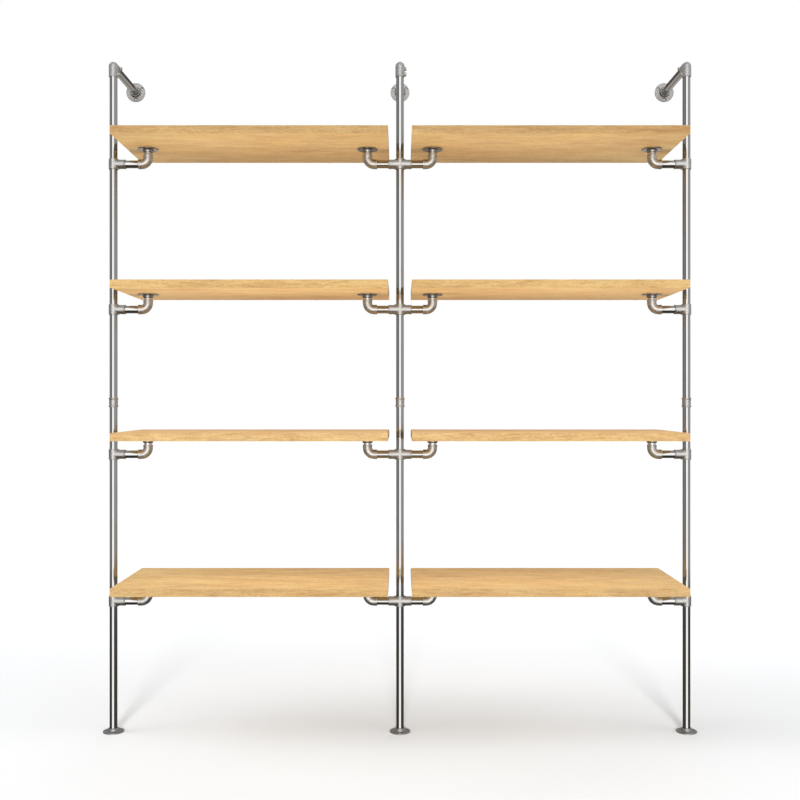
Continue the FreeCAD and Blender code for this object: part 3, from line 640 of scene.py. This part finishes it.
def floor_material():
    m = Nodes("studio_floor")
    soft = m.noise(m.scaled((0.6, 0.6, 0.6)), 1.0, 2.0, 0.5)
    m.set(Base_Color=m.ramp(soft, [(0.3, (0.441, 0.447, 0.455)),
                                   (0.7, (0.449, 0.455, 0.463))]),
          Roughness=1.0, Specular_IOR_Level=0.0)
    m.set(Emission_Color=(1.0, 1.0, 1.0, 1.0), Emission_Strength=0.02)
    return m.material


# ---------------------------------------------------------------------------
# pieces
# ---------------------------------------------------------------------------
tube_z = tube_material("tube_upright", 2)
tube_x = tube_material("tube_arm", 0)
tube_y = tube_material("tube_wall_tie", 1)
nipple = tube_material("tube_nipple", 2, (0.57, 0.56, 0.54),
                       (0.63, 0.62, 0.60), (0.69, 0.68, 0.66), 0.31, 0.38)
# the castings share one galvanised finish, toned by where they sit as painted
# light and shade: lighter on the long elbows, darker on the flanges, darkest
# under the shelves; the flange at the floor, under the shelves and at the wall
# is one casting in three tones
fitting = cast_material("cast_fitting", (0.310, 0.302, 0.290),
                        (0.360, 0.351, 0.338), (0.410, 0.401, 0.387),
                        0.38, 0.47, 1.3)
corner = cast_material("cast_corner", (0.368, 0.366, 0.362),
                       (0.395, 0.393, 0.389), (0.422, 0.419, 0.415),
                       0.46, 0.53, 2.2, grain=0.10, metal=0.64)
plate = cast_material("cast_flange", (0.240, 0.235, 0.228),
                      (0.290, 0.285, 0.278), (0.345, 0.340, 0.332),
                      0.42, 0.50, 4.1, speck=0.6, grain=0.6)
under_shaded = cast_material("cast_under_shaded", (0.236, 0.223, 0.208),
                      (0.282, 0.267, 0.250), (0.330, 0.313, 0.293),
                      0.23, 0.31, 5.3, speck=0.6, grain=0.5, metal=0.97)
wall_zinc = cast_material("cast_wall", (0.250, 0.247, 0.242),
                          (0.282, 0.279, 0.273), (0.314, 0.311, 0.305),
                          0.44, 0.52, 6.2, grain=0.25, metal=0.80)
bends_lit = cast_material("cast_bend_lit", (0.410, 0.400, 0.384),
                      (0.470, 0.459, 0.441), (0.525, 0.513, 0.495),
                      0.38, 0.47, 3.4)
screws = screw_material("zinc_screw")

for name, obj in nodes.items():
    if "pipe" in name or "riser" in name:
        if name.startswith("arm_pipes"):
            obj.data.materials[0] = tube_x
        elif name.startswith("wall_pipe"):
            obj.data.materials[0] = tube_y
        elif name.startswith("arm_risers"):
            obj.data.materials[0] = nipple
        else:
            obj.data.materials[0] = tube_z
    elif "screws" in name:
        obj.data.materials[0] = screws

TINTS = {(1, "left"): (1.065, 1.08, 1.10), (1, "right"): (1.055, 1.065, 1.10),
         (2, "left"): (1.09, 1.07, 1.16), (2, "right"): (1.08, 1.05, 1.13),
         (3, "left"): (1.08, 1.06, 1.03), (3, "right"): (1.06, 1.04, 1.01),
         (4, "left"): (.925, .925, .93), (4, "right"): (.91, .915, .93)}
# painted shade for the boards' front and back faces per level, painted light
# on level 2
LONG_FACE_SHADE = {1: (0.93, 0.88, 0.895), 2: (1.03, 1.035, 1.03),
         3: (0.98, 0.975, 1.02), 4: (0.945, 0.895, 0.94)}
seed = 0
for level in LEVELS:
    for side in ("left", "right"):
        seed += 1
        board = nodes["shelf_%d_%s" % (level, side)]
        board.data.materials[0] = oak_material(
            "oak_%d_%s" % (level, side), float(seed), TINTS[level, side],
            LONG_FACE_SHADE[level])

tee = arm_fitting(42.5, 31.5, 1)
cross = arm_fitting(40.0, 30.0, 2)
MIRROR = [[-1, 0, 0], [0, 1, 0], [0, 0, 1]]
for level, height in LEVELS.items():
    make_object("casting_tee_%d_left" % level,
                moved(tee, shift=(-PITCH, 0, height)), fitting,
                "tee_%d_left" % level)
    make_object("casting_tee_%d_right" % level,
                moved(tee, MIRROR, (PITCH, 0, height)), fitting,
                "tee_%d_right" % level)
    make_object("casting_cross_%d" % level,
                moved(cross, shift=(0, 0, height)), fitting,
                "cross_%d_center" % level)

sweep = long_elbow()
disc = flange_plate()
wall_disc = flange_plate(1.3)


def spin(degrees):
    c, s = math.cos(math.radians(degrees)), math.sin(math.radians(degrees))
    return np.array([[c, -s, 0], [s, c, 0], [0, 0, 1.0]])


UPSIDE_DOWN = np.array([[1, 0, 0], [0, -1, 0], [0, 0, -1.0]]) @ spin(90)
TO_ROOM = np.array([[1, 0, 0], [0, 0, -1.0], [0, 1, 0]]) @ spin(30)
ARMS = ((OUTER_ARM - PITCH, 1), (-INNER_ARM, -1), (INNER_ARM, 1),
        (PITCH - OUTER_ARM, -1))
for level, height in LEVELS.items():
    make_object("casting_elbows_%d" % level, joined([
        moved(sweep, None if way > 0 else spin(180), (x, 0, height))
        for x, way in ARMS]), bends_lit,
        "arm_elbows_%d" % level)
    make_object("casting_shelf_flanges_%d" % level, joined([
        moved(disc, UPSIDE_DOWN, (x, 0, height + RISER))
        for x, way in ARMS]), under_shaded,
        "shelf_flanges_%d" % level)

corner_right, corner_left = top_fitting(1), top_fitting(-1)
sleeve = coupler_mesh()
for where, x in POSTS:
    make_object("casting_base_%s" % where,
                moved(disc, spin(30), (x, 0, 0)), plate,
                "base_flange_%s" % where)
    make_object("casting_wall_%s" % where,
                moved(wall_disc, TO_ROOM, (x, WALL, TOP_AXIS)), wall_zinc,
                "wall_flange_%s" % where)
    make_object("casting_coupler_%s" % where,
                moved(sleeve, shift=(x, 0, COUPLER_AXIS)), fitting,
                "coupler_%s" % where)
    make_object("casting_top_%s" % where,
                moved(corner_left if where == "right" else corner_right,
                      shift=(x, 0, TOP_AXIS)), corner,
                "top_elbow_%s" % where)

# ---------------------------------------------------------------------------
# floor, camera, light
# ---------------------------------------------------------------------------
bpy.ops.mesh.primitive_plane_add(size=60, location=(0, 0, 0))
floor = bpy.context.object
floor.name = "studio_floor"
floor.data.materials.append(floor_material())
floor.visible_glossy = False
floor.visible_diffuse = False
floor.visible_shadow = False

camera_data = bpy.data.cameras.new("camera")
camera_data.sensor_fit = "HORIZONTAL"
camera_data.sensor_width = 36.0
camera_data.lens = 47.05
camera_data.clip_end = 200.0
camera = bpy.data.objects.new("camera", camera_data)
camera.location = (0.0, -3.650, 1.1575)
camera.rotation_euler = (math.radians(90.0), 0.0, 0.0)
scene.collection.objects.link(camera)
scene.camera = camera


def build_world():
    """White ground and backdrop, a soft dome for the diffuse light, and for
    what the metal reflects a studio with one tall front card."""
    world = bpy.data.worlds.new("studio")
    scene.world = world
    world.use_nodes = True
    # diffuse and mirror light differ, so each ray picks its own by direction
    world.cycles.sampling_method = "NONE"
    tree = world.node_tree
    tree.nodes.clear()
    new, link = tree.nodes.new, tree.links.new
    out = new("ShaderNodeOutputWorld")
    path = new("ShaderNodeLightPath")
    coord = new("ShaderNodeTexCoord")
    split = new("ShaderNodeSeparateXYZ")
    link(coord.outputs["Generated"], split.inputs[0])

    def give(socket, v):
        if isinstance(v, bpy.types.NodeSocket):
            link(v, socket)
        else:
            socket.default_value = v

    def calc(kind, a, b=0.0, clamp=False, third=None):
        n = new("ShaderNodeMath")
        n.operation = kind
        n.use_clamp = clamp
        give(n.inputs[0], a)
        give(n.inputs[1], b)
        if third is not None:
            give(n.inputs[2], third)
        return n.outputs[0]

    def smooth(value, a, b, low=0.0, high=1.0):
        n = new("ShaderNodeMapRange")
        n.interpolation_type = "SMOOTHSTEP"
        give(n.inputs[0], value)
        for i, v in enumerate((a, b, low, high), start=1):
            n.inputs[i].default_value = v
        return n.outputs[0]

    def blend(factor, a, b):
        n = new("ShaderNodeMix")
        n.data_type = "FLOAT"
        give(n.inputs[0], factor)
        give(n.inputs[2], a)
        give(n.inputs[3], b)
        return n.outputs[0]

    def around(azimuth, stops):
        n = new("ShaderNodeValToRGB")
        link(calc("ADD", calc("DIVIDE", azimuth, 360.0), 0.5), n.inputs[0])
        ramp = n.color_ramp
        while len(ramp.elements) < len(stops):
            ramp.elements.new(0.5)
        for e, (angle, level) in zip(ramp.elements, stops):
            e.position = angle / 360.0 + 0.5
            e.color = (level, level, level, 1.0)
        return n.outputs[0]

    x, y, z = split.outputs
    front = calc("MULTIPLY", y, -1.0)
    azimuth = calc("MULTIPLY", calc("ARCTAN2", x, front), 180.0 / math.pi)
    elevation = calc("MULTIPLY", calc("ARCSINE", z), 180.0 / math.pi)

    # reflections: the room above the horizon, the dim ground, the ceiling
    room = around(azimuth, [
        (-180, 0.85), (-150, 0.80), (-128, 0.42), (-116, 0.32), (-88, 0.60),
        (-78, 0.68), (-60, 0.46), (-45, 0.38), (-28, 0.40), (28, 0.92),
        (45, 0.92), (80, 0.88), (115, 0.78), (135, 0.78), (150, 0.82),
        (180, 0.85)])
    ground = around(azimuth, [
        (-180, 0.75), (-150, 0.70), (-128, 0.12), (-116, 0.070),
        (-88, 0.070), (-48, 0.25), (-28, 0.30), (28, 0.32), (45, 0.26),
        (77, 0.13), (115, 0.08), (128, 0.12), (150, 0.70), (180, 0.75)])
    deep = calc("MULTIPLY", ground, smooth(elevation, -38.0, -28.0,
                                           0.35, 1.0))
    level = blend(smooth(elevation, -10.8, -8.6), deep, room)
    level = blend(smooth(elevation, 34.0, 60.0), level, 0.85)
    # straight behind: dark above, a dim strip of ground, brighter beside it
    beside = calc("MULTIPLY", smooth(calc("ABSOLUTE", x), 0.04, 0.16),
                  smooth(z, 0.02, -0.05))
    behind = calc("ADD", 0.14, calc("MULTIPLY", beside, 0.50))
    behind = calc("ADD", behind, smooth(z, -0.10, -0.30, 0.0, 0.20))
    rear = smooth(y, 0.84, 0.90)
    level = blend(rear, level, behind)
    card = calc("MULTIPLY",
                smooth(calc("ABSOLUTE", azimuth), 24.0, 26.0, 1.0, 0.0),
                calc("MULTIPLY", smooth(elevation, -30.0, -24.0),
                     smooth(elevation, 36.0, 43.0, 1.0, 0.0)))
    level = blend(card, level, 3.10)
    warm = calc("MULTIPLY", smooth(elevation, -9.0, -14.0),
                calc("SUBTRACT", 1.0, card))
    warm = calc("MAXIMUM", warm, rear)
    # diffuse light: a band overhead from side to side, a bright ground in
    # front, little level with the eye; each table runs from front to back
    def depthwise(stops):
        n = new("ShaderNodeValToRGB")
        link(calc("MULTIPLY_ADD", y, 0.5, clamp=True, third=0.5),
             n.inputs[0])
        ramp = n.color_ramp
        while len(ramp.elements) < len(stops):
            ramp.elements.new(0.5)
        for e, (at, value) in zip(ramp.elements, stops):
            e.position = at / 2.0 + 0.5
            e.color = (value / 5.0, value / 5.0, value / 5.0, 1.0)
        return calc("MULTIPLY", n.outputs[0], 5.0)

    up_left = depthwise([
        (-1, 0.02), (-0.8, 0.02), (-0.62, 0.17), (-0.48, 1.59), (-0.36, 2.38),
        (-0.25, 2.17), (-0.15, 1.94), (-0.05, 1.24), (0.06, 0.02),
        (0.35, 0.02), (0.6, 1.26), (1, 2.17)])
    up_right = depthwise([
        (-1, 0.02), (-0.8, 0.15), (-0.62, 1.56), (-0.48, 2.76), (-0.36, 1.72),
        (-0.25, 0.15), (-0.15, 0.02), (0.35, 0.02), (0.6, 1.03), (1, 1.93)])
    horizon = depthwise([
        (-1, 0.02), (-0.5, 0.02), (-0.2, 0.17), (0.2, 0.47), (0.5, 0.80),
        (0.8, 1.09), (1, 1.36)])
    shallow = depthwise([
        (-1, 0.02), (-0.7, 0.02), (-0.45, 0.13), (-0.25, 0.29), (0.08, 0.60),
        (0.25, 0.79), (0.7, 1.34), (1, 1.60)])
    steep = depthwise([
        (-1, 2.88), (-0.7, 3.17), (-0.45, 3.09), (-0.25, 2.05), (-0.08, 0.80),
        (0.08, 0.02), (0.45, 0.02), (1, 0.54)])
    depth = calc("MULTIPLY", z, -1.0)
    up = blend(calc("MULTIPLY_ADD", x, 0.5, third=0.5), up_left, up_right)
    down = blend(smooth(depth, 0.40, 0.85), shallow, steep)
    dome_level = blend(smooth(z, 0.0, 0.34), horizon, up)
    dome_level = blend(smooth(depth, 0.0, 0.34), dome_level, down)

    def background(strength, colour=(1, 1, 1, 1)):
        n = new("ShaderNodeBackground")
        give(n.inputs["Color"], colour)
        give(n.inputs["Strength"], strength)
        return n

    tint = new("ShaderNodeMix")
    tint.data_type = "RGBA"
    link(warm, tint.inputs[0])
    tint.inputs[6].default_value = (1.0, 1.0, 1.0, 1.0)
    tint.inputs[7].default_value = (1.0, 0.92, 0.83, 1.0)
    first = new("ShaderNodeMixShader")
    link(path.outputs["Is Glossy Ray"], first.inputs[0])
    link(background(dome_level).outputs[0], first.inputs[1])
    link(background(level, tint.outputs[2]).outputs[0], first.inputs[2])
    second = new("ShaderNodeMixShader")
    link(path.outputs["Is Camera Ray"], second.inputs[0])
    link(first.outputs[0], second.inputs[1])
    link(background(1.0).outputs[0], second.inputs[2])
    link(second.outputs[0], out.inputs["Surface"])


build_world()

floor_only = bpy.data.collections.new("floor_only")
floor_only.objects.link(floor)


def soft_sun(name, energy, elevation, bearing=0.0, width=11.0, shade=False):
    """Soft-edged light; its bearing counts from straight in front towards
    the right. Diffuse only, since the metal already reflects the card; a
    shade light falls on the floor alone."""
    data = bpy.data.lights.new(name, "SUN")
    data.energy = energy
    data.angle = math.radians(width)
    data.specular_factor = 0.0
    obj = bpy.data.objects.new(name, data)
    obj.rotation_euler = (math.radians(90.0 - elevation), 0.0,
                          math.radians(bearing))
    obj.visible_glossy = False
    if shade:
        obj.light_linking.receiver_collection = floor_only
    scene.collection.objects.link(obj)
    return obj


soft_sun("key_low", 0.37, 20.0)
soft_sun("key_high", 0.36, 27.0)
soft_sun("floor_left_low", 1.68, 40.0, -90.0, 40.0, shade=True)
soft_sun("floor_left_high", 0.58, 70.0, -90.0, 40.0, shade=True)
soft_sun("floor_right", 1.22, 40.0, 80.0, 40.0, shade=True)
soft_sun("floor_rear", 0.52, 65.0, 150.0, 40.0, shade=True)
# a low light that draws the uprights' narrow shadows
graze = soft_sun("floor_graze", 7.56, 10.0, shade=True)
uprights = bpy.data.collections.new("uprights_only")
for name, obj in nodes.items():
    if name.startswith("lower_pipe"):
        uprights.objects.link(obj)
for where, x in POSTS:
    uprights.objects.link(bpy.data.objects["casting_base_%s" % where])
graze.light_linking.blocker_collection = uprights

scene.view_settings.view_transform = "Standard"
scene.view_settings.look = "None"
scene.view_settings.exposure = 0.0
scene.view_settings.gamma = 1.0
